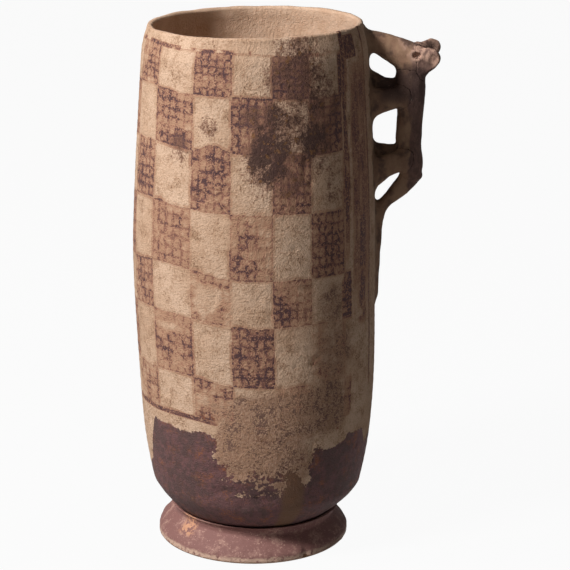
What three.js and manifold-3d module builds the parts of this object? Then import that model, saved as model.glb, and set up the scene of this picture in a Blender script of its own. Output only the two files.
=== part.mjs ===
// Painted pottery beaker on a splayed foot, with a climbing animal as its handle.
// Millimetres, +Z up. The origin is the centre of the foot's flat underside, and +X points to the handle.
// The potter formed each piece by itself and luted it on with slip, so neighbours keep a thin luting gap.
import * as THREE from "three";
import { mergeVertices } from "three/addons/utils/BufferGeometryUtils.js";
import Module from "manifold-3d";

// Vessel: heights are above the table, radii are to the outer face
const rimHeight = 290;
const rimRadius = 57.8;
const lipWidth = 3.8;
const shoulderRadius = 60.8;
const shoulderDrop = 15;
const bellyRadius = 66.5;
const bellyHeight = 165;
const heelRadius = 58.8;
const heelHeight = 35;
const floorRadius = 27;
const floorUnderside = 9.5;
const wallThickness = 4.6;
const floorThickness = 7.5;

// Slopes of the outline, outwards per millimetre of height, and how far each one is held
const heelFlare = 0.19;
const heelHold = 7;
const heelRise = 20;
const bellyHold = 30;
const lowerBellyHold = 99;
const shoulderFlare = 0.08;
const shoulderHold = 30;
const lipHold = 5;
const lipTurnIn = 0.7;
const bottomHold = 11.5;

// Heights over which the wall thickens to the floor and thins to the lip
const floorBlend = 25;
const lipBlend = 20;

// Foot: a disc with a hollow neck, a flat underside and a dished seat for the vessel
const footRadius = 54;
const footEdge = 3.2;
const neckRadius = 45.2;
const neckHeight = 13.2;
const collarRadius = 47.4;
const collarHeight = 18.4;
const footEase = 0.7;
const footShoulder = 3;

// Hand building: the rim rises a little towards the handle, and the lower wall leans and sags that way
const rimSlope = 0.022;
const heelSlope = 0.014;
const leanReach = 2;
const leanFull = 80;
const leanGone = 175;

// Clay to clay clearance at every luted joint
const lutingGap = 0.3;

// Animal handle: how far its levels lie below the rim, and its body's middle line from the wall
const muzzleDrop = 11.2;
const headDrop = 20;
const foreDrop = 40;
const hindDrop = 76;
const tailDrop = 150;
const standoff = 20.4;
const bodyDepth = 14.4;
const bodyWidth = 13;
const headDepth = 16;
const headWidth = 14.8;
const muzzleDepth = 11.4;
const muzzleWidth = 9.6;
const legDepth = 12;
const legWidth = 8;
const legSpread = 9.8;
const foreStagger = 2.6;
const hindStagger = 2.6;
const tailDepth = 7.2;
const tailWidth = 7.4;
const leftEarLength = 10.2;
const rightEarLength = 12.6;
const earDepth = 15;
const earThickness = 4.4;
const earCupDepth = 1.1;
const earStagger = 2.4;
const eyeRadius = 1.7;
const eyeDrop = 17;
const eyeShare = 1.29;

// Facets
const roundSegments = 72;
const limbSides = 14;
const stepsPerStation = 3;
const capRings = 3;

const wasm = await Module();
wasm.setup();

// A closed three.js geometry as a solid for joining and cutting
function toSolid(geometry) {
  const bare = geometry.clone();
  bare.deleteAttribute("normal");
  bare.deleteAttribute("uv");
  const merged = mergeVertices(bare.index ? bare.toNonIndexed() : bare, 1e-4);
  const corners = merged.index.array;
  const kept = [];
  for (let i = 0; i < corners.length; i += 3) {
    const [a, b, c] = [corners[i], corners[i + 1], corners[i + 2]];
    if (a !== b && b !== c && c !== a) {
      kept.push(a, b, c);
    }
  }
  const mesh = new wasm.Mesh({
    numProp: 3,
    vertProperties: new Float32Array(merged.attributes.position.array),
    triVerts: new Uint32Array(kept),
  });
  return new wasm.Manifold(mesh);
}

function toGeometry(solid) {
  const mesh = solid.getMesh();
  const geometry = new THREE.BufferGeometry();
  geometry.setAttribute("position", new THREE.BufferAttribute(new Float32Array(mesh.vertProperties), 3));
  geometry.setIndex(new THREE.BufferAttribute(new Uint32Array(mesh.triVerts), 1));
  geometry.computeVertexNormals();
  return geometry;
}

// How far the middle of the body lies towards the handle at a height
function lean(height) {
  const overFoot = THREE.MathUtils.smoothstep(height, footEdge, heelHeight);
  return leanReach * overFoot * (1 - THREE.MathUtils.smoothstep(height, leanFull, leanGone));
}

// How steeply the potter's level lines run at a height: down towards the handle at the heel, up at the rim
function levelSlope(height) {
  const overFoot = THREE.MathUtils.smoothstep(height, footEdge, neckHeight);
  const low = heelSlope * overFoot * (1 - THREE.MathUtils.smoothstep(height, heelHeight, leanGone));
  return rimSlope * Math.max(0, height / rimHeight) ** 4 - low;
}

// A profile of [radius, height] points turned about Z, then leaned and tilted as the potter left it
function turned(profile) {
  const geometry = new THREE.LatheGeometry(profile, roundSegments);
  geometry.rotateX(Math.PI / 2);
  const place = geometry.attributes.position;
  for (let i = 0; i < place.count; i += 1) {
    const x = place.getX(i);
    const z = place.getZ(i);
    place.setX(i, x + lean(z));
    place.setZ(i, z + x * levelSlope(z));
  }
  return toSolid(geometry);
}

// Outer outline of the vessel from the middle of its underside to the outside of the lip
function vesselOutline() {
  const shoulderHeight = rimHeight - shoulderDrop;
  const lipHeight = rimHeight - lipWidth / 2;
  const path = new THREE.Path();
  path.moveTo(0, floorUnderside);
  path.lineTo(floorRadius, floorUnderside);
  path.bezierCurveTo(
    floorRadius + bottomHold, floorUnderside,
    heelRadius - heelHold * heelFlare, heelHeight - heelHold,
    heelRadius, heelHeight,
  );
  path.bezierCurveTo(
    heelRadius + heelRise * heelFlare, heelHeight + heelRise,
    bellyRadius, bellyHeight - lowerBellyHold,
    bellyRadius, bellyHeight,
  );
  path.bezierCurveTo(
    bellyRadius, bellyHeight + bellyHold,
    shoulderRadius + shoulderHold * shoulderFlare, shoulderHeight - shoulderHold,
    shoulderRadius, shoulderHeight,
  );
  path.bezierCurveTo(
    shoulderRadius - lipHold * shoulderFlare, shoulderHeight + lipHold,
    rimRadius + lipTurnIn, lipHeight - lipHold / 2,
    rimRadius, lipHeight,
  );
  return path;
}

// Points along a path, with a number of steps for each of its curves
function stepped(path, steps) {
  return path.curves.flatMap((curve, i) => curve.getSpacedPoints(steps[i]).slice(i === 0 ? 0 : 1));
}

const outline = vesselOutline();
const outlinePoints = stepped(outline, [1, 8, 7, 6, 4]);
const fineOutline = outline.getSpacedPoints(400);

// Outer radius of the wall at a height
function wallRadius(height) {
  const above = fineOutline.findIndex((p) => p.y >= height && p.x > floorRadius);
  if (above < 1) {
    return rimRadius;
  }
  const [low, high] = [fineOutline[above - 1], fineOutline[above]];
  const share = (height - low.y) / (high.y - low.y);
  return low.x + share * (high.x - low.x);
}

// The outline moved outwards by an amount, or inwards by a negative one, along its own normals
function moved(points, amount) {
  return points.map((p, i) => {
    const before = points[Math.max(i - 1, 0)];
    const after = points[Math.min(i + 1, points.length - 1)];
    const along = after.clone().sub(before).normalize();
    const step = typeof amount === "function" ? amount(p) : amount;
    return new THREE.Vector2(p.x === 0 ? 0 : p.x + along.y * step, p.y - along.x * step);
  });
}

// Vessel: thrown wall, thicker rounded floor, and a lip that rounds over to the inside
function makeVessel() {
  const inner = moved(outlinePoints, (p) => {
    const towardsFloor = THREE.MathUtils.smoothstep(heelHeight + floorBlend - p.y, 0, heelHeight);
    const towardsLip = THREE.MathUtils.smoothstep(p.y, rimHeight - lipBlend, rimHeight - lipWidth / 2);
    const thickness = THREE.MathUtils.lerp(wallThickness, floorThickness, towardsFloor);
    return -THREE.MathUtils.lerp(thickness, lipWidth, towardsLip);
  });
  const lip = [];
  for (let i = 1; i < 5; i += 1) {
    const turn = (i / 5) * Math.PI;
    const middle = rimRadius - lipWidth / 2;
    const height = rimHeight - lipWidth / 2;
    lip.push(new THREE.Vector2(
      middle + (lipWidth / 2) * Math.cos(turn),
      height + (lipWidth / 2) * Math.sin(turn),
    ));
  }
  inner[inner.length - 1].set(rimRadius - lipWidth, rimHeight - lipWidth / 2);
  const inside = inner.filter((p, i) => i === 0 || i === inner.length - 1 || i % 2 === 1);
  return turned([...outlinePoints, ...lip, ...inside.reverse()]);
}

// Everything within a clearance of the vessel's outer face, filled, for seating pieces against the wall
function vesselSpace(clearance) {
  const skin = moved(outlinePoints, clearance);
  skin[skin.length - 1].y += clearance;
  return turned([...skin, new THREE.Vector2(0, rimHeight + 2 * lipWidth)]);
}

// Foot: flat underside, thin splayed edge, a cove up to the neck and a collar round the vessel
function makeFoot() {
  const path = new THREE.Path();
  path.moveTo(0, 0);
  path.lineTo(footRadius - footEase, 0);
  path.lineTo(footRadius, footEase);
  path.lineTo(footRadius, footEdge);
  path.bezierCurveTo(
    footRadius, footEdge + footShoulder,
    neckRadius + footShoulder, neckHeight - footShoulder,
    neckRadius, neckHeight,
  );
  path.quadraticCurveTo(neckRadius, (neckHeight + collarHeight) / 2, collarRadius, collarHeight);
  const side = stepped(path, [1, 1, 1, 7, 3]);
  side.push(new THREE.Vector2(0, collarHeight));
  return turned(side).subtract(vesselSpace(lutingGap));
}

// A limb is a loft of rounded sections along stations placed from the wall and the rim.
// Each station has share (of the standoff, 0 at the wall), drop (below the rim), aside (from the handle's
// middle plane), depth (across the limb, in that plane) and width (square to that plane).
function limb(stations, { sides = limbSides, roundStart = 0, roundEnd = 0, grow = 0 } = {}) {
  const centres = stations.map(({ share, drop, aside = 0 }) => {
    const height = rimHeight - drop;
    return new THREE.Vector3(wallRadius(height) + lean(height) + share * standoff, aside, height);
  });
  const sizes = stations.map(({ depth, width }) => new THREE.Vector3(depth / 2 + grow, width / 2 + grow, 0));
  const spine = new THREE.CatmullRomCurve3(centres, false, "centripetal");
  const girth = new THREE.CatmullRomCurve3(sizes, false, "centripetal");
  const rings = [];
  const tips = [];
  const addRing = (at, scale, ahead) => {
    const along = spine.getTangent(at);
    const aside = new THREE.Vector3(0, 1, 0).addScaledVector(along, -along.y).normalize();
    const across = new THREE.Vector3().crossVectors(aside, along);
    const centre = spine.getPoint(at).addScaledVector(along, ahead);
    const size = girth.getPoint(at);
    if (scale === 0) {
      tips.push({ centre, at: rings.length });
      return;
    }
    const ring = [];
    for (let i = 0; i < sides; i += 1) {
      const turn = ((i + 0.5) / sides) * 2 * Math.PI;
      const [c, s] = [Math.cos(turn), Math.sin(turn)];
      const square = (Math.abs(c) ** 2.5 + Math.abs(s) ** 2.5) ** (-1 / 2.5);
      ring.push(centre.clone()
        .addScaledVector(across, size.x * scale * square * c)
        .addScaledVector(aside, size.y * scale * square * s));
    }
    rings.push(ring);
  };
  const count = (stations.length - 1) * stepsPerStation;
  const startRings = roundStart > 0 ? capRings : 0;
  const endRings = roundEnd > 0 ? capRings : 0;
  addRing(0, 0, -(roundStart + grow));
  for (let i = startRings; i > 0; i -= 1) {
    const turn = (i / (capRings + 1)) * (Math.PI / 2);
    addRing(0, Math.cos(turn), -(roundStart + grow) * Math.sin(turn));
  }
  for (let i = 0; i <= count; i += 1) {
    addRing(i / count, 1, 0);
  }
  for (let i = 1; i <= endRings; i += 1) {
    const turn = (i / (capRings + 1)) * (Math.PI / 2);
    addRing(1, Math.cos(turn), (roundEnd + grow) * Math.sin(turn));
  }
  addRing(1, 0, roundEnd + grow);
  const points = rings.flat();
  const index = [];
  for (let r = 0; r + 1 < rings.length; r += 1) {
    for (let i = 0; i < sides; i += 1) {
      const [a, b] = [r * sides + i, r * sides + ((i + 1) % sides)];
      index.push(a, b, b + sides, a, b + sides, a + sides);
    }
  }
  const last = (rings.length - 1) * sides;
  for (let i = 0; i < sides; i += 1) {
    const next = (i + 1) % sides;
    index.push(points.length, next, i);
    index.push(points.length + 1, last + i, last + next);
  }
  points.push(tips[0].centre, tips[1].centre);
  const geometry = new THREE.BufferGeometry().setFromPoints(points);
  geometry.setIndex(index);
  const solid = toSolid(geometry);
  if (solid.volume() > 0) {
    return solid;
  }
  geometry.setIndex(index.reverse());
  return toSolid(geometry);
}

// Torso: upright body of the animal, from its neck down to the rounded hips
function torso(grow = 0) {
  const waist = (foreDrop + hindDrop) / 2;
  return limb([
    { share: 1.12, drop: headDrop + 1, depth: bodyDepth + 1.4, width: bodyWidth },
    { share: 1.07, drop: headDrop + 11, depth: bodyDepth + 1.4, width: bodyWidth + 0.6 },
    { share: 1.02, drop: foreDrop + 5, depth: bodyDepth + 0.2, width: bodyWidth + 1 },
    { share: 0.98, drop: waist - 2, depth: bodyDepth - 0.8, width: bodyWidth - 0.8 },
    { share: 0.93, drop: hindDrop - 9, depth: bodyDepth - 0.8, width: bodyWidth },
    { share: 0.98, drop: hindDrop + 1, depth: bodyDepth - 1.4, width: bodyWidth + 1.4 },
    { share: 1.0, drop: hindDrop + 7, depth: bodyDepth - 4, width: bodyWidth - 0.4 },
  ], { sides: 18, roundStart: 3, roundEnd: 3, grow });
}

// Head: the muzzle bites the wall just below the rim, and the skull overhangs the neck
function skull(grow = 0) {
  return limb([
    { share: -0.12, drop: muzzleDrop - 0.4, depth: muzzleDepth + 1.6, width: muzzleWidth + 1.6 },
    { share: 0.22, drop: muzzleDrop, depth: muzzleDepth, width: muzzleWidth },
    { share: 0.56, drop: muzzleDrop + 3, depth: muzzleDepth + 2.4, width: muzzleWidth + 1.4 },
    { share: 0.88, drop: headDrop - 2.6, depth: headDepth - 0.4, width: headWidth - 1.2 },
    { share: 1.2, drop: headDrop - 0.2, depth: headDepth, width: headWidth },
    { share: 1.44, drop: headDrop + 0.8, depth: headDepth - 3, width: headWidth - 1.4 },
  ], { sides: 18, roundEnd: 3.6, grow });
}

// Eyes: a small hollow pressed into each side of the head
function eye(side) {
  const height = rimHeight - eyeDrop;
  const ball = new THREE.SphereGeometry(eyeRadius, 12, 8);
  ball.translate(wallRadius(height) + eyeShare * standoff, side * (headWidth / 2 - eyeRadius / 8), height);
  return toSolid(ball);
}

// Ears: rounded flaps laid back from the skull and spread to either side, each with a shallow cup outside
function ear(side, drop, length) {
  const root = headWidth * 0.3;
  const rootShare = 1.34;
  const flap = limb([
    { share: rootShare, drop: drop + 0.8, aside: side * root, depth: earDepth - 2, width: earThickness + 1 },
    {
      share: rootShare + (0.5 * length) / standoff,
      drop,
      aside: side * (root + 0.32 * length),
      depth: earDepth,
      width: earThickness,
    },
    {
      share: rootShare + (0.86 * length) / standoff,
      drop: drop - 1,
      aside: side * (root + 0.46 * length),
      depth: earDepth - 5,
      width: earThickness - 0.8,
    },
  ], { sides: 12, roundEnd: 0.14 * length });
  const height = rimHeight - drop;
  const hollow = new THREE.SphereGeometry(1, 14, 10);
  hollow.scale(0.3 * length, earThickness / 2, 0.32 * earDepth);
  hollow.translate(
    wallRadius(height) + rootShare * standoff + 0.62 * length,
    side * (root + 0.38 * length + earThickness - earCupDepth),
    height,
  );
  return flap.subtract(toSolid(hollow));
}

// Legs: short stubs that flare where they are pressed against the wall, one pair at the shoulders and
// one at the hips. The far leg of each pair sits a little higher on the wall.
function leg(side, drop, rise, grow = 0) {
  const aside = (side * legSpread) / 2;
  return limb([
    { share: -0.16, drop: drop + 2 * rise, aside: aside * 1.06, depth: legDepth + 4.4, width: legWidth + 1.6 },
    { share: 0.04, drop: drop + 1.8 * rise, aside: aside * 1.04, depth: legDepth + 3.6, width: legWidth + 1 },
    { share: 0.32, drop: drop + rise, aside, depth: legDepth + 0.6, width: legWidth },
    { share: 0.68, drop, aside: aside * 0.96, depth: legDepth - 0.4, width: legWidth },
    { share: 1.0, drop: drop - 0.4 * rise, aside: aside * 0.7, depth: legDepth - 1.6, width: legWidth - 2 },
  ], { grow });
}

// Tail: swings from the hips back to the wall and tapers out down the wall
function tail() {
  const touch = hindDrop + 24;
  return limb([
    { share: 1.05, drop: hindDrop + 6, depth: tailDepth + 2.6, width: tailWidth + 2 },
    { share: 0.74, drop: hindDrop + 13.7, depth: tailDepth + 2.2, width: tailWidth + 1.4 },
    { share: 0.46, drop: touch - 5, depth: tailDepth + 0.2, width: tailWidth + 0.4 },
    { share: 0.23, drop: touch, depth: tailDepth - 0.6, width: tailWidth },
    { share: 0.07, drop: touch + 6, depth: tailDepth - 0.4, width: tailWidth - 0.4 },
    { share: 0.02, drop: touch + 15, depth: tailDepth - 1, width: tailWidth - 0.8 },
    { share: -0.02, drop: (touch + 15 + tailDrop) / 2, depth: tailDepth - 2, width: tailWidth - 1.4 },
    { share: -0.03, drop: tailDrop, depth: tailDepth - 4, width: tailWidth - 4 },
  ], { sides: 12, roundStart: 1, roundEnd: 3 });
}

// A thin upright sheet in the handle's middle plane, which parts the left limbs from the right
function midPlane() {
  const sheet = new THREE.BoxGeometry(4 * standoff, lutingGap, rimHeight);
  sheet.translate(rimRadius + standoff, 0, rimHeight / 2);
  return toSolid(sheet);
}

const wall = vesselSpace(lutingGap);
const headSpace = skull(lutingGap);
const torsoSpace = torso(lutingGap).subtract(headSpace);
const split = midPlane();

const legPlaces = {
  left_foreleg: { side: -1, drop: foreDrop, rise: 1.3 },
  right_foreleg: { side: 1, drop: foreDrop - foreStagger, rise: -0.8 },
  left_hindleg: { side: -1, drop: hindDrop - 1.3, rise: 2.9 },
  right_hindleg: { side: 1, drop: hindDrop - hindStagger, rise: 0.6 },
};

const slip = { color: 0xd6ae98, roughness: 0.92, metalness: 0 };
const paint = { color: 0x7a5a50, roughness: 0.85, metalness: 0 };
const figure = { color: 0x93796a, roughness: 0.88, metalness: 0 };

const object = new THREE.Group();

function add(name, solid, finish) {
  const mesh = new THREE.Mesh(toGeometry(solid), new THREE.MeshStandardMaterial(finish));
  mesh.name = name;
  object.add(mesh);
}

add("vessel_body", makeVessel(), slip);
add("foot", makeFoot(), paint);
add("handle_head", skull().subtract(wall).subtract(eye(-1)).subtract(eye(1)), figure);
add("handle_torso", torso().subtract(headSpace), figure);
const ears = {
  left_ear: ear(-1, headDrop, leftEarLength),
  right_ear: ear(1, headDrop - earStagger, rightEarLength),
};
for (const [name, flap] of Object.entries(ears)) {
  add(name, flap.subtract(headSpace).subtract(torsoSpace), figure);
}
const legSpaces = [];
for (const [name, { side, drop, rise }] of Object.entries(legPlaces)) {
  const solid = leg(side, drop, rise).subtract(wall).subtract(torsoSpace).subtract(split);
  add(name, solid, figure);
  legSpaces.push(leg(side, drop, rise, lutingGap));
}
const hindSpace = legSpaces[2].add(legSpaces[3]);
add("tail", tail().subtract(wall).subtract(torsoSpace).subtract(hindSpace), figure);

export default object;
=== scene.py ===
import math

import bmesh
import bpy
import numpy as np
from mathutils import Matrix, Vector


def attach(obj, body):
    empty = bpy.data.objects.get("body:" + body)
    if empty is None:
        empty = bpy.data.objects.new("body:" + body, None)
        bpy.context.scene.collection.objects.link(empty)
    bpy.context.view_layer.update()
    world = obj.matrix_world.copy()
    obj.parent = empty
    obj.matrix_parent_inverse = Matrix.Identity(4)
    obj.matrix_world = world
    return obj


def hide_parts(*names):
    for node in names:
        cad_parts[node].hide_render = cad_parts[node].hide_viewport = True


# Painted pottery beaker with an animal handle. Sizes are in mm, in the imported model's frame, until a mesh
# is made. Angles round it are in degrees from the side facing the camera, growing to the handle at +90.
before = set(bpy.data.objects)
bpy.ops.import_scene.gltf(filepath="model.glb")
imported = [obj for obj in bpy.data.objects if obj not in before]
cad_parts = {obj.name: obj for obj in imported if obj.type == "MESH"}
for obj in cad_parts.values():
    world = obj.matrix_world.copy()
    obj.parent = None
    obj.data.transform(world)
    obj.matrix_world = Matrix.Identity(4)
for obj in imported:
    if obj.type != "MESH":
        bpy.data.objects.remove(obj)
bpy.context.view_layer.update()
MM = 0.001
SEED = 7

# Beaker outline
RIM_HEIGHT, RIM_RADIUS, LIP_WIDTH = 290.0, 57.8, 3.8
SHOULDER_RADIUS, SHOULDER_DROP, SHOULDER_FLARE, SHOULDER_HOLD = 60.8, 15.0, 0.08, 30.0
BELLY_RADIUS, BELLY_HEIGHT, BELLY_HOLD, LOWER_BELLY_HOLD = 66.5, 165.0, 30.0, 99.0
HEEL_RADIUS, HEEL_HEIGHT, HEEL_FLARE, HEEL_HOLD, HEEL_RISE = 58.8, 35.0, 0.19, 7.0, 20.0
FLOOR_RADIUS, FLOOR_UNDERSIDE, BOTTOM_HOLD = 27.0, 9.5, 11.5
LIP_HOLD, LIP_TURN_IN = 5.0, 0.7
WALL, FLOOR_THICKNESS, FLOOR_BLEND, LIP_BLEND = 4.6, 7.5, 25.0, 20.0

# Foot outline
FOOT_RADIUS, FOOT_EDGE, FOOT_EASE, FOOT_SHOULDER = 54.0, 3.2, 0.7, 3.0
NECK_RADIUS, NECK_HEIGHT, COLLAR_RADIUS, COLLAR_HEIGHT = 45.2, 13.2, 47.4, 18.4
LUTING_GAP = 0.3

# How the potter's work leans and tilts
RIM_SLOPE, HEEL_SLOPE, LEAN_REACH, LEAN_FULL, LEAN_GONE = 0.022, 0.014, 2.0, 80.0, 175.0

# Animal handle
STANDOFF, SECTION_POWER = 20.4, 2.5
MUZZLE_DROP, HEAD_DROP, FORE_DROP, HIND_DROP, TAIL_DROP = 11.2, 20.0, 40.0, 76.0, 150.0
BODY_DEPTH, BODY_WIDTH, HEAD_DEPTH, HEAD_WIDTH = 14.4, 13.0, 16.0, 14.8
MUZZLE_DEPTH, MUZZLE_WIDTH, LEG_DEPTH, LEG_WIDTH, LEG_SPREAD = 11.4, 9.6, 12.0, 8.0, 9.8
FORE_STAGGER, HIND_STAGGER, TAIL_DEPTH, TAIL_WIDTH = 2.6, 2.6, 7.2, 7.4
LEFT_EAR, RIGHT_EAR, EAR_DEPTH, EAR_THICKNESS, EAR_STAGGER = 10.2, 12.6, 15.0, 4.4, 2.4
EAR_ROOT, EAR_ROOT_SHARE = 0.3 * HEAD_WIDTH, 1.34

# An eye: its place, its stretch along x, y and z, the hollow, and the low ring round it
EYE_DROP, EYE_SHARE, EYE_BACK, EYE_OUT, EYE_STRETCH = 17.0, 1.29, 1.2, 0.2, [1.25, 1.2, 0.95]
EYE_HOLLOW, EYE_RING, EYE_RING_HALF, EYE_RING_RISE, EYE_RING_EASE = 1.9, 2.7, 0.5, 0.35, 0.9

# Mesh fineness
COLUMNS, OUTER_ROWS, LIP_ROWS, INNER_ROWS, FOOT_ROWS = 320, 214, 12, 66, 90
VOXEL = 0.55


def smoothstep(low, high, value):
    share = np.clip((np.asarray(value, float) - low) / (high - low), 0, 1)
    return share * share * (3 - 2 * share)


def bump_at(value, middle, half):
    """1 at the middle, easing to 0 at half a width to either side."""
    return 1 - smoothstep(0, half, np.abs(np.asarray(value, float) - middle))


def smooth_noise(points, size, seed):
    """Seeded value noise from -1 to 1 at points, with lumps of about that size."""
    cell = np.asarray(points, float) / size + 1000.0
    base = np.floor(cell).astype(np.int64)
    part = cell - base
    part = part * part * (3 - 2 * part)
    total = np.zeros(len(cell))
    for corner in range(8):
        step = np.array([corner & 1, corner >> 1 & 1, corner >> 2 & 1])
        at = base + step
        mixed = (at[:, 0] * 73856093) ^ (at[:, 1] * 19349663) ^ (at[:, 2] * 83492791) ^ (seed * 2654435761)
        mixed = (mixed ^ (mixed >> 13)) * 1274126177
        value = ((mixed ^ (mixed >> 16)) & 0xFFFF) / 32767.5 - 1
        weight = np.prod(np.where(step == 1, part, 1 - part), axis=1)
        total += value * weight
    return total


def cubic(start, hold, arrive, end, count):
    """Points on a Bezier curve, without its first one."""
    t = np.linspace(0, 1, count + 1)[1:, None]
    a, b, c, d = (np.array(p, float) for p in (start, hold, arrive, end))
    return a * (1 - t) ** 3 + 3 * b * t * (1 - t) ** 2 + 3 * c * t * t * (1 - t) + d * t ** 3


def even(points, count):
    """A polyline again as count points evenly spaced along it."""
    along = np.r_[0, np.cumsum(np.linalg.norm(np.diff(points, axis=0), axis=1))]
    at = np.linspace(0, along[-1], count)
    return np.stack([np.interp(at, along, points[:, i]) for i in range(2)], 1)


def vessel_outline():
    """The outer outline as [radius, height], from the underside's middle to the outside of the lip."""
    shoulder, lip = RIM_HEIGHT - SHOULDER_DROP, RIM_HEIGHT - LIP_WIDTH / 2
    floor_edge = (FLOOR_RADIUS, FLOOR_UNDERSIDE)
    heel, belly = (HEEL_RADIUS, HEEL_HEIGHT), (BELLY_RADIUS, BELLY_HEIGHT)
    return np.concatenate([
        [(0, FLOOR_UNDERSIDE), floor_edge],
        cubic(floor_edge, (FLOOR_RADIUS + BOTTOM_HOLD, FLOOR_UNDERSIDE),
              (HEEL_RADIUS - HEEL_HOLD * HEEL_FLARE, HEEL_HEIGHT - HEEL_HOLD), heel, 90),
        cubic(heel, (HEEL_RADIUS + HEEL_RISE * HEEL_FLARE, HEEL_HEIGHT + HEEL_RISE),
              (BELLY_RADIUS, BELLY_HEIGHT - LOWER_BELLY_HOLD), belly, 160),
        cubic(belly, (BELLY_RADIUS, BELLY_HEIGHT + BELLY_HOLD),
              (SHOULDER_RADIUS + SHOULDER_HOLD * SHOULDER_FLARE, shoulder - SHOULDER_HOLD),
              (SHOULDER_RADIUS, shoulder), 140),
        cubic((SHOULDER_RADIUS, shoulder),
              (SHOULDER_RADIUS - LIP_HOLD * SHOULDER_FLARE, shoulder + LIP_HOLD),
              (RIM_RADIUS + LIP_TURN_IN, lip - LIP_HOLD / 2), (RIM_RADIUS, lip), 24),
    ])


OUTLINE = vessel_outline()


def wall_radius(height):
    sides = OUTLINE[1:]
    return np.interp(height, sides[:, 1], sides[:, 0])


def lean(height):
    """How far the axis lies towards the handle, in mm."""
    fading = 1 - smoothstep(LEAN_FULL, LEAN_GONE, height)
    return LEAN_REACH * smoothstep(FOOT_EDGE, HEEL_HEIGHT, height) * fading


def level_slope(height):
    """The rise of a level ring towards the handle: the heel falls and the rim rises."""
    fading = 1 - smoothstep(HEEL_HEIGHT, LEAN_GONE, height)
    heel = HEEL_SLOPE * smoothstep(FOOT_EDGE, NECK_HEIGHT, height) * fading
    return RIM_SLOPE * np.maximum(0, np.asarray(height) / RIM_HEIGHT) ** 4 - heel


def upright(radius, height, angle):
    """Points in mm of an upright turned surface. The angle is in degrees."""
    a = np.radians(angle)
    return np.stack([radius * np.sin(a), -radius * np.cos(a), height], 1)


def turned(radius, height, angle):
    """The same with the lean and tilt of the real one."""
    points = upright(radius, height, angle)
    points[:, 2] += points[:, 0] * level_slope(height)
    points[:, 0] += lean(height)
    return points


def in_scene(name, data):
    thing = bpy.data.objects.new(name, data)
    bpy.context.scene.collection.objects.link(thing)
    return thing


def new_object(name, points, faces, smooth=True):
    mesh = bpy.data.meshes.new(name)
    mesh.from_pydata((np.asarray(points) * MM).tolist(), [], [list(map(int, f)) for f in faces])
    mesh.validate()
    mesh.polygons.foreach_set("use_smooth", [smooth] * len(mesh.polygons))
    mesh.update()
    return in_scene(name, mesh)


def give(piece, name, values):
    """Stores a number at each point."""
    attribute = piece.data.attributes.new(name, "FLOAT", "POINT")
    attribute.data.foreach_set("value", np.asarray(values, np.float32))


def give_place(piece, angle, height):
    """Stores where each point was turned, without a jump of the angle at the back."""
    give(piece, "turn_sin", np.sin(np.radians(angle)))
    give(piece, "turn_cos", np.cos(np.radians(angle)))
    give(piece, "level", height)


def ring_faces(rows):
    """Faces of a closed turned grid whose first and last rows are single points."""
    here = np.arange(COLUMNS)
    after = (here + 1) % COLUMNS
    faces = [(0, 1 + b, 1 + a) for a, b in zip(here, after)]
    for row in range(rows - 3):
        low, high = 1 + row * COLUMNS, 1 + (row + 1) * COLUMNS
        faces += [(low + a, low + b, high + b, high + a) for a, b in zip(here, after)]
    top, last = 1 + (rows - 3) * COLUMNS, 1 + (rows - 2) * COLUMNS
    faces += [(top + a, top + b, last) for a, b in zip(here, after)]
    return faces


def turned_object(name, profile, displace):
    """A closed turned body from [radius, height] points, and the angle and height of each mesh point."""
    angles = np.arange(COLUMNS) * 360 / COLUMNS - 180
    middle = profile[1:-1]
    radius, angle = np.meshgrid(middle[:, 0], angles, indexing="ij")
    height = np.repeat(middle[:, 1][:, None], COLUMNS, 1)
    before, after = profile[:-2], profile[2:]
    way = after - before
    way = way / np.linalg.norm(way, axis=1)[:, None]
    out = np.repeat(np.stack([way[:, 1], -way[:, 0]], 1)[:, None], COLUMNS, 1)
    shift = displace(radius.ravel(), height.ravel(), angle.ravel()).reshape(radius.shape)
    r = radius + out[..., 0] * shift
    z = height + out[..., 1] * shift
    grid = turned(r.ravel(), z.ravel(), angle.ravel())
    ends = turned(np.zeros(2), profile[[0, -1], 1], np.zeros(2))
    points = np.concatenate([ends[:1], grid, ends[1:]])
    piece = new_object(name, points, ring_faces(len(profile)))
    return piece, np.r_[0, angle.ravel(), 0], np.r_[profile[0, 1], height.ravel(), profile[-1, 1]]


# Pitch of the throwing rings outside and inside, and how far the finish is drawn in
OUTER_RINGS, INNER_RINGS, WALL_DRAWN_IN, FOOT_DRAWN_IN = 5.3, 7.1, 0.25, 0.08


def vessel_relief(radius, height, angle):
    """Hand finish in mm: shallow throwing rings, scraped flats, an uneven lip and small pits."""
    places = upright(radius, height, angle)
    rings = 0.05 * np.sin(height * 2 * np.pi / OUTER_RINGS + 2.2 * smooth_noise(places, 60, SEED))
    scraped = 0.16 * smooth_noise(places * [1, 1, 0.35], 14, SEED + 1)
    swells = 0.3 * smooth_noise(places * [1, 1, 0.6], 42, SEED + 2)
    grain = 0.07 * smooth_noise(places, 2.6, SEED + 3)
    pits = -0.45 * smoothstep(0.62, 0.86, smooth_noise(places, 4.2, SEED + 4))
    lip = 0.35 * smooth_noise(places, 9, SEED + 5) * smoothstep(RIM_HEIGHT - 6, RIM_HEIGHT - 1, height)
    outside = radius > wall_radius(np.clip(height, FLOOR_UNDERSIDE, RIM_HEIGHT - 2)) - 1
    inner = 0.12 * np.sin(height * 2 * np.pi / INNER_RINGS + 3 * smooth_noise(places, 40, SEED + 6))
    outer = rings + scraped + swells + grain + pits - flake_depth(angle, height)
    return np.where(outside, outer, inner + 0.6 * scraped) + lip - WALL_DRAWN_IN


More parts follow.
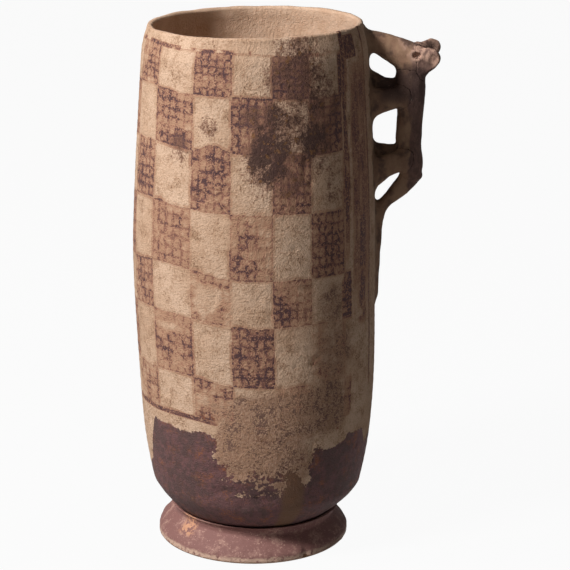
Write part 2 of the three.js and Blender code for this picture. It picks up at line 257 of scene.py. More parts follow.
# Where the paint and slip have flaked, in degrees and mm: middle, half sizes, and how deep
FLAKES = [
    (5, 41, 7, 4, 0.5), (-18, 43, 6, 3, 0.5), (-8, 35, 3, 3, 0.4), (-14, 56, 9, 5, 0.45),
    (-43, 62, 9, 5, 0.35), (6, 228, 3, 3, 0.3), (-50, 95, 6, 3, 0.2), (150, 60, 14, 9, 0.5),
    (-140, 120, 10, 12, 0.35), (110, 150, 5, 8, 0.3),
]


def flake_depth(angle, height):
    depth = np.zeros(len(angle))
    for middle, level, across, tall, deep in FLAKES:
        away = np.hypot((angle - middle) / across, (height - level) / tall)
        depth = np.maximum(depth, deep * (1 - smoothstep(0.75, 1.05, away)))
    return depth


def vessel_profile():
    outer = even(OUTLINE, OUTER_ROWS)
    turn = np.linspace(0, np.pi, LIP_ROWS + 2)[1:-1]
    lip_middle = np.array([RIM_RADIUS - LIP_WIDTH / 2, RIM_HEIGHT - LIP_WIDTH / 2])
    lip = lip_middle + LIP_WIDTH / 2 * np.stack([np.cos(turn), np.sin(turn)], 1)
    way = np.gradient(OUTLINE, axis=0)
    way /= np.linalg.norm(way, axis=1)[:, None]
    height = OUTLINE[:, 1]
    to_floor = smoothstep(0, HEEL_HEIGHT, HEEL_HEIGHT + FLOOR_BLEND - height)
    thick = WALL + (FLOOR_THICKNESS - WALL) * to_floor
    to_lip = smoothstep(RIM_HEIGHT - LIP_BLEND, RIM_HEIGHT - LIP_WIDTH / 2, height)
    thick = thick + (LIP_WIDTH - thick) * to_lip
    inner = OUTLINE + np.stack([-way[:, 1], way[:, 0]], 1) * thick[:, None]
    inner[0] = (0, FLOOR_UNDERSIDE + FLOOR_THICKNESS)
    inner[-1] = (RIM_RADIUS - LIP_WIDTH, RIM_HEIGHT - LIP_WIDTH / 2)
    keep = np.r_[True, np.diff(inner[:, 0]) > -2] & (inner[:, 0] >= 0)
    return np.concatenate([outer, lip, even(inner[keep], INNER_ROWS)[::-1]])


# The painted layout: the plain strip behind the handle, and the chequer round the rest, in degrees and mm
PLAIN_FROM, PLAIN_TO = 51.0, 134.0
FRONT_COLUMNS = [-75.0, -54.5, -30.5, -11.0, 8.5, 27.0, 46.0]
BACK_COLUMN_COUNT = 8
ROW_LINES = [84.0, 106.5, 140.0, 165.0, 200.0, 231.0, 260.0, 282.0]

# Sizes of the columns and rows that would go on beyond the chequer
LEFT_OVER, RIGHT_OVER, UNDER, OVER = 20, 19, 26, 30


def column_of(angle):
    """How many columns lie left of an angle, counted from the front's first one."""
    unrolled = np.where(angle > 90, angle - 360, angle)
    back = np.linspace(PLAIN_TO - 360, FRONT_COLUMNS[0], BACK_COLUMN_COUNT + 1)
    edges = np.r_[back, FRONT_COLUMNS[1:]]
    steps = np.r_[np.arange(-BACK_COLUMN_COUNT, 1), np.arange(1, len(FRONT_COLUMNS))].astype(float)
    edges = np.r_[edges[0] - LEFT_OVER, edges, edges[-1] + RIGHT_OVER]
    steps = np.r_[steps[0] - 1, steps, steps[-1] + 1]
    return np.interp(unrolled, edges, steps)


def row_of(angle, height):
    """How many rows lie below a place, with the dips and slants of the painted lines."""
    slant = np.where(np.abs(angle) < 90, angle, np.sign(angle) * (180 - np.abs(angle))) / 80
    wave = 0.9 * np.sin(np.radians(angle * 3.1 + 40)) + 0.7 * np.sin(np.radians(angle * 5.3 + height))
    level = height + 1.9 * slant + wave
    level = level - 4.5 * bump_at(angle, -20, 11) * bump_at(height, 234, 14)
    level = level - 2.5 * bump_at(angle, -40, 40) * bump_at(height, 165, 14)
    lines = np.r_[ROW_LINES[0] - UNDER, ROW_LINES, ROW_LINES[-1] + OVER]
    return np.interp(level, lines, np.arange(-1, len(lines) - 1))


# How strongly the paint of the hatched cells in front is kept, row by row from the bottom and from left to
# right, as (reddish wash, dark lines). The other cells take a value by chance.
KEPT_PAINT = [
    [(0.35, 0.5), (0.42, 0.44), (0.2, 0.15)],
    [(0.62, 0.5), (0.9, 0.7), (0.3, 0.2)],
    [(0.5, 0.7), (0.36, 0.34), (0.7, 0.5)],
    [(0.68, 0.3), (0.5, 0.28), (0.75, 0.85)],
    [(0.6, 0.85), (0.72, 0.6), (0.85, 0.55)],
    [(0.65, 0.68), (0.8, 0.72), (0.8, 0.7)],
    [(0.45, 0.75), (0.8, 0.62), (0.9, 0.78)],
]

# Blotches in degrees and mm: middle, half sizes, change of the dark paint and of the reddish wash
BLOTCHES = [
    (-37, 235, 9, 7, 0.5, 0.3), (-17, 222, 5, 6, 0.5, 0.1), (1, 248, 9, 5, 0.5, 0.2),
    (5, 260, 7, 3, 0.6, 0.2), (-4, 172, 6, 9, 0.8, 0.2), (-4, 186, 5, 6, 0.5, 0),
    (-5, 195, 7, 6, 0.1, -0.25), (12, 146, 6, 9, 0.5, 0.35), (20, 158, 6, 6, -0.3, -0.5),
    (-31, 120, 3, 16, 0.45, 0.3), (-45, 134, 8, 5, -0.4, -0.45), (2, 134, 9, 6, 0.3, 0.2),
    (-3, 123, 5, 5, -0.5, -0.1), (0, 110, 9, 5, 0.35, 0.2), (-14, 102, 6, 6, 0.45, 0.1),
    (-25, 88, 4, 7, 0.35, 0.4), (16, 102, 6, 6, 0.1, 0.35), (18, 86, 4, 4, 0.7, 0.2),
    (-64, 98, 5, 6, 0.45, 0.1), (-66, 165, 7, 7, 0.4, 0.1), (-68, 214, 8, 9, 0.3, 0.15),
    (-22, 153, 7, 9, -0.35, -0.3), (-27, 202, 4, 2.5, 0.7, 0), (20, 268, 11, 12, 0.5, 0.3),
    (-20, 243, 7, 7, 0.5, 0), (40, 242, 8, 12, 0.2, 0.3), (-46, 256, 7, 5, 0.3, 0.1),
    (-66, 259, 8, 2.5, 0.8, 0.2), (-35, 244, 4, 4, -0.4, -0.2),
]
DARK_CHANGE, RED_CHANGE = 4, 5

# Dark stains over all cells: middle, half sizes, strength
STAINS = [
    (6, 229, 13, 15, 1.15), (22, 270, 19, 20, 0.56), (16, 244, 22, 16, 0.55), (30, 234, 10, 14, 0.8),
    (14, 214, 17, 10, 0.45), (36, 255, 10, 14, 0.55), (20, 284, 14, 8, 0.35), (4, 250, 12, 8, 0.4),
    (-38, 232, 8, 9, 0.5), (40, 215, 9, 14, 0.35), (2, 76, 8, 3.5, 0.45), (-23, 243, 6, 8, 0.4),
    (-160, 215, 22, 24, 0.7), (-118, 246, 14, 15, 0.4), (175, 110, 15, 14, 0.35),
]

# Places worn to the bare clay: middle, half sizes, strength
WORN = [
    (4, 88, 27, 17, 0.95), (30, 90, 22, 17, 0.9), (40, 122, 14, 22, 0.6), (5, 58, 27, 26, 1.0),
    (-14, 70, 9, 14, 0.8), (38, 150, 10, 12, 0.5), (-24, 92, 8, 8, 0.35), (-150, 95, 30, 20, 0.9),
    (-125, 190, 12, 18, 0.5), (160, 180, 18, 20, 0.6), (-95, 120, 12, 16, 0.4),
]
STRENGTH = 4

# Upper edge of the dark band round the base: angle, height
PANEL_EDGE = [
    (-180, 70), (-150, 76), (-128, 77), (-104, 77), (-84, 40), (-70, 50), (-60, 77), (-21, 77), (-19, 60),
    (-12, 54), (0, 52), (12, 50), (16, 52), (26, 56), (27.5, 60), (30, 66), (36, 67), (48, 68), (50, 73),
    (64, 71), (70, 60), (90, 66), (120, 76), (150, 60), (180, 70),
]


def patches(table, angle, height, entry):
    """The sum of soft patches from a table, where the entry is the place of their strength."""
    total = np.zeros(len(angle))
    for patch in table:
        middle, level, across, tall = patch[:4]
        off = (angle - middle + 180) % 360 - 180
        away = np.hypot(off / across, (height - level) / tall)
        total += patch[entry] * (1 - smoothstep(0.35, 1.25, away))
    return total


def panel_edge(angle, height):
    """How far in mm a place lies inside the dark band round the base."""
    angles, heights = zip(*PANEL_EDGE)
    level = np.interp(angle, angles, heights)
    level = level + 0.6 * np.sin(np.radians(angle * 11)) + 0.5 * np.sin(np.radians(angle * 23 + 60))
    return level - height


def painted_fields(angle, height):
    """What the material reads at each point: the layout of the drawing, and how it has lasted."""
    column, row = column_of(angle), row_of(angle, height)
    whole_column, whole_row = np.floor(column).astype(int), np.floor(row).astype(int)
    spread = np.stack([whole_column * 3.7, whole_row * 5.1, 0 * angle], 1)
    chance = smooth_noise(spread, 1.0, SEED + 20)
    wash = 0.6 + 0.25 * chance
    lines = 0.55 + 0.3 * chance
    for kept_row, cells in enumerate(KEPT_PAINT):
        for i, (kept_wash, kept_lines) in enumerate(cells):
            inside = (whole_column == 2 * i + kept_row % 2) & (whole_row == kept_row)
            wash = np.where(inside, kept_wash, wash)
            lines = np.where(inside, kept_lines, lines)
    wash = wash + patches(BLOTCHES, angle, height, RED_CHANGE)
    lines = lines + patches(BLOTCHES, angle, height, DARK_CHANGE)
    worn = np.clip(patches(WORN, angle, height, STRENGTH), 0, 1)
    stain = np.clip(patches(STAINS, angle, height, STRENGTH), 0, 1.2)
    return {
        "column": column,
        "row": row,
        "wash": np.clip(wash * (1 - 0.9 * worn), 0, 1.3),
        "lines": np.clip(lines * (1 - 0.9 * worn), 0, 1.4),
        "worn": worn,
        "stain": stain,
        "panel": panel_edge(angle, height),
    }


def make_vessel():
    profile = vessel_profile()
    piece, angle, height = turned_object("beaker_body", profile, vessel_relief)
    for name, values in painted_fields(angle, height).items():
        give(piece, name, values)
    rows = np.r_[0, np.repeat(np.arange(1, len(profile) - 1), COLUMNS), len(profile) - 1]
    give(piece, "outer", (rows < OUTER_ROWS + LIP_ROWS / 3).astype(float))
    give_place(piece, angle, height)
    return piece


# Chips in the foot's edge: angle, half width in degrees, and depth
FOOT_CHIPS = [
    (33, 3.2, 1.6), (-58, 2.0, 0.8), (-21, 1.6, 0.5), (12, 1.2, 0.5), (140, 5, 1.8), (-120, 3, 0.9),
]
FOOT_SOLE = 0.2


def foot_relief(radius, height, angle):
    """Hand finish in mm: an uneven, chipped edge over a flat sole."""
    places = upright(radius, height, angle)
    above_sole = height > FOOT_SOLE
    at_edge = smoothstep(NECK_RADIUS, FOOT_RADIUS - 2, radius) * above_sole
    swells = 0.55 * smooth_noise(places * [1, 1, 0.2], 16, SEED + 30)
    uneven = swells + 0.25 * smooth_noise(places, 5, SEED + 31)
    chips = 0.0
    for middle, half, deep in FOOT_CHIPS:
        chips = chips + deep * bump_at(angle, middle, half)
    rough = 0.1 * smooth_noise(places, 2.2, SEED + 32)
    edge = at_edge * (uneven - chips * smoothstep(8, 3, height) - 0.5)
    return edge + rough * above_sole - FOOT_DRAWN_IN


def foot_profile():
    foot_edge, neck = (FOOT_RADIUS, FOOT_EDGE), (NECK_RADIUS, NECK_HEIGHT)
    path = np.concatenate([
        [(0, 0), (FOOT_RADIUS - FOOT_EASE, 0), (FOOT_RADIUS, FOOT_EASE), foot_edge],
        cubic(foot_edge, (FOOT_RADIUS, FOOT_EDGE + FOOT_SHOULDER),
              (NECK_RADIUS + FOOT_SHOULDER, NECK_HEIGHT - FOOT_SHOULDER), neck, 40),
        cubic(neck, (NECK_RADIUS, NECK_HEIGHT + 3),
              (NECK_RADIUS + 0.6, COLLAR_HEIGHT - 2), (COLLAR_RADIUS, COLLAR_HEIGHT), 20),
    ])
    under_wall = (OUTLINE[:, 0] < COLLAR_RADIUS - 1) & (OUTLINE[:, 1] < COLLAR_HEIGHT)
    seat = OUTLINE[under_wall][::-1] - [0, LUTING_GAP]
    profile = np.concatenate([even(path, FOOT_ROWS), even(seat, FOOT_ROWS // 3)])
    profile[0, 0] = profile[-1, 0] = 0
    return profile


def make_foot():
    piece, angle, height = turned_object("foot_disc", foot_profile(), foot_relief)
    give_place(piece, angle, height)
    return piece


def spline(values, count):
    """A Catmull-Rom spline through stations."""
    p = np.asarray(values, float)
    p = np.concatenate([[2 * p[0] - p[1]], p, [2 * p[-1] - p[-2]]])
    out = []
    for at in np.linspace(0, len(p) - 3, count):
        i = min(int(at), len(p) - 4)
        t = at - i
        a, b, c, d = p[i:i + 4]
        bend = (2 * a - 5 * b + 4 * c - d) * t * t
        twist = (3 * b - a - 3 * c + d) * t ** 3
        out.append(0.5 * (2 * b + (c - a) * t + bend + twist))
    return np.array(out)


def limb(stations, depth=0, width=0, steps=36):
    """A limb of rolled clay as rows of x, y, z and half sizes. A station is its share of the way from the
    wall to the handle's middle, its drop below the rim, its place aside, and its extra depth and width."""
    rows = []
    for share, drop, aside, deeper, wider in stations:
        height = RIM_HEIGHT - drop
        out = wall_radius(height) + lean(height) + share * STANDOFF
        rows.append((out, aside, height, (depth + deeper) / 2, (width + wider) / 2))
    return spline(rows, steps)


def limb_distance(points, path, end_round):
    """About how far points lie outside a limb, in mm, below 0 inside."""
    best = np.full(len(points), 1e9)
    for a, b in zip(path[:-1], path[1:]):
        along = b[:3] - a[:3]
        length = np.linalg.norm(along)
        along = along / length
        aside = np.array([0, 1, 0]) - along * along[1]
        aside /= np.linalg.norm(aside)
        across = np.cross(aside, along)
        off = points - a[:3]
        at = off @ along
        t = np.clip(at / length, 0, 1)
        over = np.abs(at - t * length) / end_round
        half = a[3:] + t[:, None] * (b[3:] - a[3:])
        u, v = np.abs(off @ across) / half[:, 0], np.abs(off @ aside) / half[:, 1]
        flat = (u ** SECTION_POWER + v ** SECTION_POWER) ** (1 / SECTION_POWER)
        gauge = np.hypot(flat, over) - 1
        best = np.minimum(best, gauge * np.minimum(half[:, 0], half[:, 1]))
    return best


def torso_path():
    waist = (FORE_DROP + HIND_DROP) / 2
    return limb([
        (1.12, HEAD_DROP + 1, 0, 1.4, 0),
        (1.07, HEAD_DROP + 11, 0, 1.4, 0.6),
        (1.02, FORE_DROP + 5, 0, 0.2, 1),
        (0.98, waist - 2, 0, -0.8, -0.8),
        (0.93, HIND_DROP - 9, 0, -0.8, 0),
        (0.98, HIND_DROP + 1, 0, -1.4, 1.4),
        (1.0, HIND_DROP + 7, 0, -4, -0.4),
    ], BODY_DEPTH, BODY_WIDTH)


def head_path():
    return limb([
        (-0.12, MUZZLE_DROP - 0.4, 0, MUZZLE_DEPTH + 1.6, MUZZLE_WIDTH + 1.6),
        (0.22, MUZZLE_DROP, 0, MUZZLE_DEPTH, MUZZLE_WIDTH),
        (0.56, MUZZLE_DROP + 3, 0, MUZZLE_DEPTH + 2.4, MUZZLE_WIDTH + 1.4),
        (0.88, HEAD_DROP - 2.6, 0, HEAD_DEPTH - 0.4, HEAD_WIDTH - 1.2),
        (1.2, HEAD_DROP - 0.2, 0, HEAD_DEPTH - 0.6, HEAD_WIDTH - 0.4),
        (1.44, HEAD_DROP - 0.4, 0, HEAD_DEPTH - 3.6, HEAD_WIDTH - 2),
    ])


def ear_path(side, drop, length):
    reach = length / STANDOFF
    return limb([
        (EAR_ROOT_SHARE, drop + 0.8, side * EAR_ROOT, -2, 1),
        (EAR_ROOT_SHARE + 0.5 * reach, drop, side * (EAR_ROOT + 0.32 * length), 0, 0),
        (EAR_ROOT_SHARE + 0.86 * reach, drop - 1, side * (EAR_ROOT + 0.46 * length), -5, -0.8),
    ], EAR_DEPTH, EAR_THICKNESS, 14)


def leg_path(side, drop, rise):
    aside = side * LEG_SPREAD / 2
    return limb([
        (-0.16, drop + 2 * rise, aside * 1.06, 4.4, 1.6),
        (0.04, drop + 1.8 * rise, aside * 1.04, 3.6, 1),
        (0.32, drop + rise, aside, 0.6, 0),
        (0.68, drop, aside * 0.96, -0.4, 0),
        (1.0, drop - 0.4 * rise, aside * 0.7, -1.6, -2),
    ], LEG_DEPTH, LEG_WIDTH, 20)


def tail_path():
    touch = HIND_DROP + 24
    return limb([
        (1.05, HIND_DROP + 6, 0, 2.6, 2),
        (0.74, HIND_DROP + 13.7, 0, 2.2, 1.4),
        (0.46, touch - 5, 0, 0.2, 0.4),
        (0.23, touch, 0, -0.6, 0),
        (0.07, touch + 6, 0, -0.4, -0.4),
        (0.02, touch + 15, 0, -1, -0.8),
        (-0.02, (touch + 15 + TAIL_DROP) / 2, 0, -2, -1.4),
        (-0.03, TAIL_DROP, 0, -4, -4),
    ], TAIL_DEPTH, TAIL_WIDTH, 44)


# Each limb's path, and how far its ends are rounded
LIMBS = {
    "handle_head": (head_path(), 3.4),
    "handle_torso": (torso_path(), 3.0),
    "left_ear": (ear_path(-1, HEAD_DROP, LEFT_EAR), 1.6),
    "right_ear": (ear_path(1, HEAD_DROP - EAR_STAGGER, RIGHT_EAR), 1.8),
    "left_foreleg": (leg_path(-1, FORE_DROP, 1.3), 1.0),
    "right_foreleg": (leg_path(1, FORE_DROP - FORE_STAGGER, -0.8), 1.0),
    "left_hindleg": (leg_path(-1, HIND_DROP - 1.3, 2.9), 1.0),
    "right_hindleg": (leg_path(1, HIND_DROP - HIND_STAGGER, 0.6), 1.0),
    "tail": (tail_path(), 2.5),
}

# The slanting underside of the jaw and ears: its start at the throat, its rise outwards and sideways
THROAT_X, THROAT_HEIGHT, JAW_SLOPE, EAR_LIFT, JAW_EASE = 91.0, 257.5, 1.3, 0.3, 2.5
JAW_COSINE = 0.62

# Fillets between limbs and at the wall, depth of the wall's clay and of the roots, spread of the smeared
# clay, its end under the lip, and a distance that is far from any limb
SMEAR, WALL_SMEAR, SUNK, ROOTED, SPREAD, TOP_DROP, FAR_AWAY = 3.2, 4.0, 0.15, 1.8, 4.5, 1.5, 50.0

# Bounds of the handle's voxel grid, in mm
GRID_LOW, GRID_HIGH = (54.0, -14.5, 134.0), (104.5, 14.5, 290.0)

# How much of a seam each limb gives up, in the order of the limbs
SEAM_SHARES = [0.0, 0.6, -0.9, -0.9, 0.0, 0.0, 0.0, 0.0, 0.2]


def joined(a, b, reach):
    """The smaller of two distances, with a fillet between them."""
    share = np.clip(reach - np.abs(a - b), 0, None) / reach
    return np.minimum(a, b) - share * share * reach / 4


def wall_distance(points):
    """About how far points lie outside the beaker's wall, in mm."""
    height = points[:, 2] - points[:, 0] * level_slope(points[:, 2])
    return np.hypot(points[:, 0] - lean(height), points[:, 1]) - wall_radius(height)


def above_jaw(points):
    """How far points lie above the underside of the jaw and ears."""
    slant = JAW_SLOPE * np.maximum(points[:, 0] - THROAT_X, 0) + EAR_LIFT * np.abs(points[:, 1])
    return (points[:, 2] - slant) * JAW_COSINE - THROAT_HEIGHT * JAW_COSINE


def handle_distances(points):
    """Distance to each limb by name, and to all of them smeared together."""
    each = {}
    for name, (path, end_round) in LIMBS.items():
        low = (path[:, :3] - path[:, 3:].max() - 5).min(0)
        high = (path[:, :3] + path[:, 3:].max() + 5).max(0)
        near = ((points > low) & (points < high)).all(1)
        d = np.full(len(points), FAR_AWAY)
        d[near] = limb_distance(points[near], path, end_round)
        if name in ("handle_head", "left_ear", "right_ear"):
            d = -joined(-d, above_jaw(points), JAW_EASE)
        each[name] = d
    whole = np.full(len(points), FAR_AWAY)
    for d in each.values():
        whole = joined(whole, d, SMEAR)
    return each, whole


def with_eye(d, points, whole, side):
    """Presses in an eye hollow with a low raised ring."""
    height = RIM_HEIGHT - EYE_DROP
    out = wall_radius(height) + EYE_SHARE * STANDOFF - EYE_BACK
    middle = [out, side * (HEAD_WIDTH / 2 + EYE_OUT), height]
    away = np.linalg.norm((points - middle) / EYE_STRETCH, axis=1)
    ring = np.maximum(np.abs(away - EYE_RING) - EYE_RING_HALF, whole - EYE_RING_RISE)
    return np.maximum(joined(d, ring, EYE_RING_EASE), EYE_HOLLOW - away)


def with_ear_cup(d, points, side, drop, length):
    """Hollows an ear's outer face."""
    height = RIM_HEIGHT - drop
    middle = [wall_radius(height) + EAR_ROOT_SHARE * STANDOFF + 0.55 * length,
              side * (EAR_ROOT + 0.38 * length + EAR_THICKNESS - 1.1), height]
    half_sizes = [0.32 * length, EAR_THICKNESS / 2 + 0.4, 0.33 * EAR_DEPTH]
    away = np.linalg.norm((points - middle) / half_sizes, axis=1)
    return np.maximum(d, (1 - away) * 2.0)


def sculpted(points, whole):
    """The limbs with finger marks, eye hollows and ear cups."""
    d = whole + 0.35 * smooth_noise(points, 6.5, SEED + 40) + 0.12 * smooth_noise(points, 2.2, SEED + 41)
    for side in (-1, 1):
        d = with_eye(d, points, whole, side)
    d = with_ear_cup(d, points, -1, HEAD_DROP, LEFT_EAR)
    return with_ear_cup(d, points, 1, HEAD_DROP - EAR_STAGGER, RIGHT_EAR)


CORNERS = [(i, j, k) for i in (0, 1) for j in (0, 1) for k in (0, 1)]


def crossing_cells(values):
    """The cells of a grid that its zero surface passes through."""
    inside = values < 0
    nx, ny, nz = values.shape
    count = np.zeros((nx - 1, ny - 1, nz - 1), int)
    for i, j, k in CORNERS:
        count += inside[i:nx - 1 + i, j:ny - 1 + j, k:nz - 1 + k]
    return np.argwhere((count > 0) & (count < len(CORNERS)))


def net_points(values, cells):
    """A point for each crossed cell, in the middle of its edges' crossings."""
    total, hits = np.zeros((len(cells), 3)), np.zeros(len(cells))
    for start in CORNERS:
        for axis in range(3):
            if start[axis]:
                continue
            end = tuple(start[i] + (i == axis) for i in range(3))
            at_start = values[tuple((cells + start).T)]
            at_end = values[tuple((cells + end).T)]
            crossed = (at_start < 0) != (at_end < 0)
            t = np.where(crossed, at_start / np.where(crossed, at_start - at_end, 1), 0)
            spot = start + np.eye(3)[axis] * t[:, None]
            total += spot * crossed[:, None]
            hits += crossed
    return cells + total / hits[:, None]


def net_quads(values, number, axis):
    """A quad round each crossed grid edge along an axis."""
    inside = values < 0
    u, v = (axis + 1) % 3, (axis + 2) % 3
    edge = np.argwhere(inside != np.roll(inside, -1, axis))
    last = np.array(values.shape) - 1
    edge = edge[(edge < last).all(1) & (edge[:, u] > 0) & (edge[:, v] > 0)]
    unit = np.eye(3, dtype=int)
    backs = (0 * unit[u], unit[u], unit[u] + unit[v], unit[v])
    ring = np.stack([number[tuple((edge - back).T)] for back in backs], 1)
    return np.where(inside[tuple(edge.T)][:, None], ring, ring[:, ::-1])


def surface_of(values, low, size):
    """A surface-net mesh of where a grid of values crosses 0."""
    cells = crossing_cells(values)
    number = -np.ones(np.array(values.shape) - 1, int)
    number[tuple(cells.T)] = np.arange(len(cells))
    points = low + net_points(values, cells) * size
    return points, np.concatenate([net_quads(values, number, axis) for axis in range(3)])


def handle_field(grid):
    """Distance to the handle: sculpted, smeared onto the wall and cut off behind its roots."""
    _, whole = handle_distances(grid)
    away = wall_distance(grid)
    d = joined(sculpted(grid, whole), away + SUNK, WALL_SMEAR)
    d = np.maximum(d, -away - ROOTED)
    d = np.maximum(d, whole - SPREAD)
    return np.maximum(d, grid[:, 2] - (RIM_HEIGHT - TOP_DROP))


def make_handle():
    """The whole handle, parted into one closed piece for each limb."""
    axes = [np.arange(low, high, VOXEL) for low, high in zip(GRID_LOW, GRID_HIGH)]
    grid = np.stack(np.meshgrid(*axes, indexing="ij"), -1).reshape(-1, 3)
    field = handle_field(grid).reshape([len(a) for a in axes])
    points, quads = surface_of(field, np.array(GRID_LOW), VOXEL)
    own, _ = handle_distances(points[quads].mean(1))
    owner = (np.stack(list(own.values()), 1) + SEAM_SHARES).argmin(1)
    return [split_piece(name, points, quads[owner == i]) for i, name in enumerate(LIMBS)]


def split_piece(name, points, faces):
    """One limb's faces as a closed piece, with hidden caps at its seams."""
    used, again = np.unique(faces, return_inverse=True)
    piece = new_object("clay_" + name, points[used], again.reshape(faces.shape))
    mesh = bmesh.new()
    mesh.from_mesh(piece.data)
    bmesh.ops.holes_fill(mesh, edges=[e for e in mesh.edges if e.is_boundary], sides=0)
    bmesh.ops.triangulate(mesh, faces=[f for f in mesh.faces if len(f.verts) > 4])
    bmesh.ops.recalc_face_normals(mesh, faces=mesh.faces)
    mesh.to_mesh(piece.data)
    mesh.free()
    return piece


# Materials
SPECULAR, NOISE_ROUGHNESS = 0.22, 0.55


class Nodes:
    """Short ways to add and join shader nodes."""

    def __init__(self, name):
        self.material = bpy.data.materials.new(name)
        self.material.use_nodes = True
        self.tree = self.material.node_tree
        self.shader = self.tree.nodes["Principled BSDF"]

    def add(self, kind, **values):
        node = self.tree.nodes.new(kind)
        for key, value in values.items():
            setattr(node, key, value)
        return node

    def join(self, out, into):
        self.tree.links.new(out, into)

    def put(self, socket, value):
        if isinstance(value, bpy.types.NodeSocket):
            self.join(value, socket)
        else:
            socket.default_value = value

    def math(self, operation, *values):
        """An operation on its values, one after the other."""
        if len(values) > 2:
            values = self.math(operation, *values[:-1]), values[-1]
        node = self.add("ShaderNodeMath", operation=operation)
        for socket, value in zip(node.inputs, values):
            self.put(socket, value)
        return node.outputs[0]

    def plus(self, *values):
        return self.math("ADD", *values)

    def minus(self, a, b):
        return self.math("SUBTRACT", a, b)

    def times(self, *values):
        return self.math("MULTIPLY", *values)

    def largest(self, *values):
        return self.math("MAXIMUM", *values)

    def ramp(self, value, low, high, to_low=0.0, to_high=1.0):
        node = self.add("ShaderNodeMapRange", interpolation_type="SMOOTHSTEP")
        for socket, put_in in zip(node.inputs, (value, low, high, to_low, to_high)):
            self.put(socket, put_in)
        return node.outputs[0]

    def near(self, value, middle, full, gone):
        """1 within full of the middle, easing to 0 at gone."""
        return self.ramp(self.math("ABSOLUTE", self.minus(value, middle)), gone, full)

    def swing(self, noise, reach):
        """A noise of 0 to 1 as a swing to either side of 0."""
        return self.times(self.minus(noise, 0.5), reach)

    def frayed(self, value, **reaches):
        """A value swung by the material's own noises, each by its reach."""
        return self.plus(value, *(self.swing(getattr(self, name), by) for name, by in reaches.items()))

    def mix(self, share, a, b):
        node = self.add("ShaderNodeMix", data_type="RGBA")
        self.put(node.inputs[0], share)
        for socket, value in ((node.inputs[6], a), (node.inputs[7], b)):
            self.put(socket, (*value, 1) if isinstance(value, tuple) else value)
        return node.outputs[2]

    def coats(self, colour, *coats):
        """Colours laid over each other, each with its share."""
        for share, tone in coats:
            colour = self.mix(share, colour, tone)
        return colour

    def read(self, name):
        return self.add("ShaderNodeAttribute", attribute_name=name).outputs["Fac"]

    def angle(self):
        """The angle round the vessel in degrees, without a false sweep at the back."""
        radians = self.math("ARCTAN2", self.read("turn_sin"), self.read("turn_cos"))
        return self.math("DEGREES", radians)

    def place(self, stretch=(1, 1, 1)):
        """The object's own coordinates in mm, times a stretch."""
        at = self.add("ShaderNodeTexCoord").outputs["Object"]
        node = self.add("ShaderNodeVectorMath", operation="MULTIPLY")
        self.join(at, node.inputs[0])
        node.inputs[1].default_value = [1000 * factor for factor in stretch]
        return node.outputs[0]

    def noise(self, size, detail=3.0, stretch=(1, 1, 1)):
        """Noise of about 0 to 1 with lumps of that size in mm."""
        node = self.add("ShaderNodeTexNoise", normalize=True)
        self.join(self.place(stretch), node.inputs["Vector"])
        node.inputs["Scale"].default_value = 1 / size
        node.inputs["Detail"].default_value = detail
        node.inputs["Roughness"].default_value = NOISE_ROUGHNESS
        return node.outputs["Fac"]

    def bumps(self, *layers):
        """Bumps over each other: height, distance in metres, strength."""
        normal = None
        for height, distance, strength in layers:
            node = self.add("ShaderNodeBump")
            node.inputs["Strength"].default_value = strength
            node.inputs["Distance"].default_value = distance
            self.join(height, node.inputs["Height"])
            if normal is not None:
                self.join(normal, node.inputs["Normal"])
            normal = node.outputs["Normal"]
        return normal

    def finish(self, colour, roughness, normal):
        self.put(self.shader.inputs["Base Color"], colour)
        self.put(self.shader.inputs["Roughness"], roughness)
        self.join(normal, self.shader.inputs["Normal"])
        self.shader.inputs["Specular IOR Level"].default_value = SPECULAR
        return self.material


SLIP, SLIP_PALE, SLIP_DULL = (0.56, 0.365, 0.245), (0.64, 0.44, 0.31), (0.38, 0.222, 0.132)
RUST, SPECK, FLECK = (0.35, 0.175, 0.100), (0.17, 0.085, 0.045), (0.14, 0.075, 0.065)
CLAY, WORN_CLAY = (0.42, 0.22, 0.12), (0.33, 0.185, 0.12)
PANEL, PANEL_RED, PANEL_BROWN = (0.140, 0.063, 0.066), (0.26, 0.095, 0.05), (0.17, 0.088, 0.048)
PANEL_DARK, PANEL_DUST = (0.068, 0.040, 0.040), (0.30, 0.17, 0.12)
SOOT, SOOT_RED, SOOT_OLIVE = (0.060, 0.032, 0.028), (0.20, 0.098, 0.066), (0.26, 0.12, 0.045)
FOOT_PAINT, FOOT_WEAR = (0.24, 0.115, 0.10), (0.50, 0.30, 0.24)
FOOT_SPOT, FOOT_RUBBED = (0.58, 0.30, 0.18), (0.60, 0.40, 0.30)
HANDLE_SLIP, HANDLE_BROWN = (0.33, 0.20, 0.125), (0.24, 0.135, 0.085)
# Dark paint with painted shade on the handle's outer side, which is turned away from the light
HANDLE_PAINT_AND_SHADE, HANDLE_DARK_PAINT_AND_SHADE = (0.16, 0.088, 0.075), (0.10, 0.056, 0.05)
# Painted light on the head's top, and pale specks
CROWN_LIGHT, HANDLE_SPECK = (0.44, 0.27, 0.20), (0.44, 0.29, 0.21)
# Painted shade under the jaw, and dark streaks
JAW_SHADE, HANDLE_STREAK = (0.080, 0.046, 0.040), (0.075, 0.042, 0.034)

# Paint from bare slip to full strength: share of the full coat, and its colour
PAINT_COATS = [
    (0.0, None), (0.20, (0.43, 0.240, 0.150)), (0.44, (0.28, 0.132, 0.088)), (0.70, (0.165, 0.076, 0.062)),
    (1.0, (0.088, 0.044, 0.044)),
]

# Brushed lines in a hatched cell
LINES_ACROSS, LINES_UP = 5.0, 6.0


